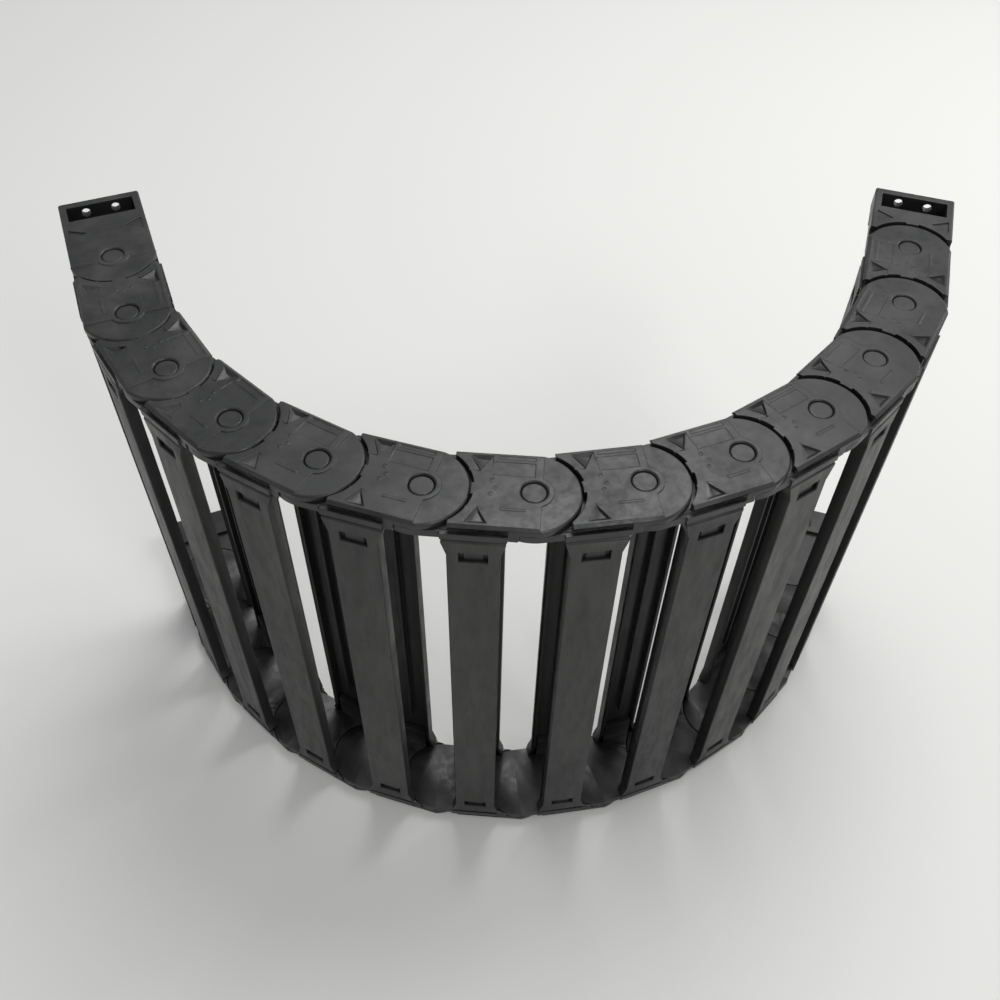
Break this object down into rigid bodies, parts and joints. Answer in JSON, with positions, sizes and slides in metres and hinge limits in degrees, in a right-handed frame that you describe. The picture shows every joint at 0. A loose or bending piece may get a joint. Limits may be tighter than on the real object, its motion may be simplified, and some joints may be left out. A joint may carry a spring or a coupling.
{
  "type": "cable drag chain",
  "caption": "Wide cable drag chain: two rows of interlocking plastic side links joined by snap-in crossbars, with an end bracket on each row, lying bent in a U.",
  "frame": {"origin": "centre of the four bolt holes of the fixed end, on its mounting face, halfway across the chain's width", "axes": "+Y out of the fixed end's mounting face; +Z along the joint pins, across the chain's width; the chain leaves along -Y and bends towards +X"},
  "size_m": [0.6504, 0.4381, 0.4008],
  "materials": {
    "bracket": "satin moulded black nylon",
    "side_link": "satin moulded black nylon, dusty",
    "crossbar": "satin moulded black nylon"
  },
  "bodies": {
    "fixed_end": {"fixed_bracket_upper": "bracket", "fixed_bracket_lower": "bracket"},
    "link_01": {"link_01_upper": "side_link", "link_01_lower": "side_link", "link_01_outer_bar": "crossbar", "link_01_inner_bar": "crossbar"},
    "link_02": {"link_02_upper": "side_link", "link_02_lower": "side_link", "link_02_outer_bar": "crossbar", "link_02_inner_bar": "crossbar"},
    "link_03": {"link_03_upper": "side_link", "link_03_lower": "side_link", "link_03_outer_bar": "crossbar", "link_03_inner_bar": "crossbar"},
    "link_04": {"link_04_upper": "side_link", "link_04_lower": "side_link", "link_04_outer_bar": "crossbar", "link_04_inner_bar": "crossbar"},
    "link_05": {"link_05_upper": "side_link", "link_05_lower": "side_link", "link_05_outer_bar": "crossbar", "link_05_inner_bar": "crossbar"},
    "link_06": {"link_06_upper": "side_link", "link_06_lower": "side_link", "link_06_outer_bar": "crossbar", "link_06_inner_bar": "crossbar"},
    "link_07": {"link_07_upper": "side_link", "link_07_lower": "side_link", "link_07_outer_bar": "crossbar", "link_07_inner_bar": "crossbar"},
    "link_08": {"link_08_upper": "side_link", "link_08_lower": "side_link", "link_08_outer_bar": "crossbar", "link_08_inner_bar": "crossbar"},
    "link_09": {"link_09_upper": "side_link", "link_09_lower": "side_link", "link_09_outer_bar": "crossbar", "link_09_inner_bar": "crossbar"},
    "link_10": {"link_10_upper": "side_link", "link_10_lower": "side_link", "link_10_outer_bar": "crossbar", "link_10_inner_bar": "crossbar"},
    "link_11": {"link_11_upper": "side_link", "link_11_lower": "side_link", "link_11_outer_bar": "crossbar", "link_11_inner_bar": "crossbar"},
    "link_12": {"link_12_upper": "side_link", "link_12_lower": "side_link", "link_12_outer_bar": "crossbar", "link_12_inner_bar": "crossbar"},
    "moving_end": {"moving_bracket_upper": "bracket", "moving_bracket_lower": "bracket"}
  },
  "joints": [
    {"name": "joint_01", "type": "hinge", "parent": "fixed_end", "child": "link_01", "pos_m": [0, -0.075, 0], "axis": [0, 0, 1], "range_deg": [0, 12.82]},
    {"name": "joint_02", "type": "hinge", "parent": "link_01", "child": "link_02", "pos_m": [0, -0.142, 0], "axis": [0, 0, 1], "range_deg": [-12.82, 0]},
    {"name": "joint_03", "type": "hinge", "parent": "link_02", "child": "link_03", "pos_m": [0.01487, -0.20733, 0], "axis": [0, 0, 1], "range_deg": [-12.82, 0]},
    {"name": "joint_04", "type": "hinge", "parent": "link_03", "child": "link_04", "pos_m": [0.04387, -0.26773, 0], "axis": [0, 0, 1], "range_deg": [-12.82, 0]},
    {"name": "joint_05", "type": "hinge", "parent": "link_04", "child": "link_05", "pos_m": [0.08555, -0.32019, 0], "axis": [0, 0, 1], "range_deg": [-12.82, 0]},
    {"name": "joint_06", "type": "hinge", "parent": "link_05", "child": "link_06", "pos_m": [0.13783, -0.36209, 0], "axis": [0, 0, 1], "range_deg": [-12.82, 0]},
    {"name": "joint_07", "type": "hinge", "parent": "link_06", "child": "link_07", "pos_m": [0.19811, -0.39134, 0], "axis": [0, 0, 1], "range_deg": [-12.82, 0]},
    {"name": "joint_08", "type": "hinge", "parent": "link_07", "child": "link_08", "pos_m": [0.26337, -0.40648, 0], "axis": [0, 0, 1], "range_deg": [-12.82, 0]},
    {"name": "joint_09", "type": "hinge", "parent": "link_08", "child": "link_09", "pos_m": [0.33037, -0.40676, 0], "axis": [0, 0, 1], "range_deg": [-12.82, 0]},
    {"name": "joint_10", "type": "hinge", "parent": "link_09", "child": "link_10", "pos_m": [0.39576, -0.39217, 0], "axis": [0, 0, 1], "range_deg": [-12.82, 0]},
    {"name": "joint_11", "type": "hinge", "parent": "link_10", "child": "link_11", "pos_m": [0.45628, -0.36342, 0], "axis": [0, 0, 1], "range_deg": [-12.82, 0]},
    {"name": "joint_12", "type": "hinge", "parent": "link_11", "child": "link_12", "pos_m": [0.50892, -0.32196, 0], "axis": [0, 0, 1], "range_deg": [-12.82, 0]},
    {"name": "joint_13", "type": "hinge", "parent": "link_12", "child": "moving_end", "pos_m": [0.55103, -0.26986, 0], "axis": [0, 0, 1], "range_deg": [0, 12.82]}
  ]
}
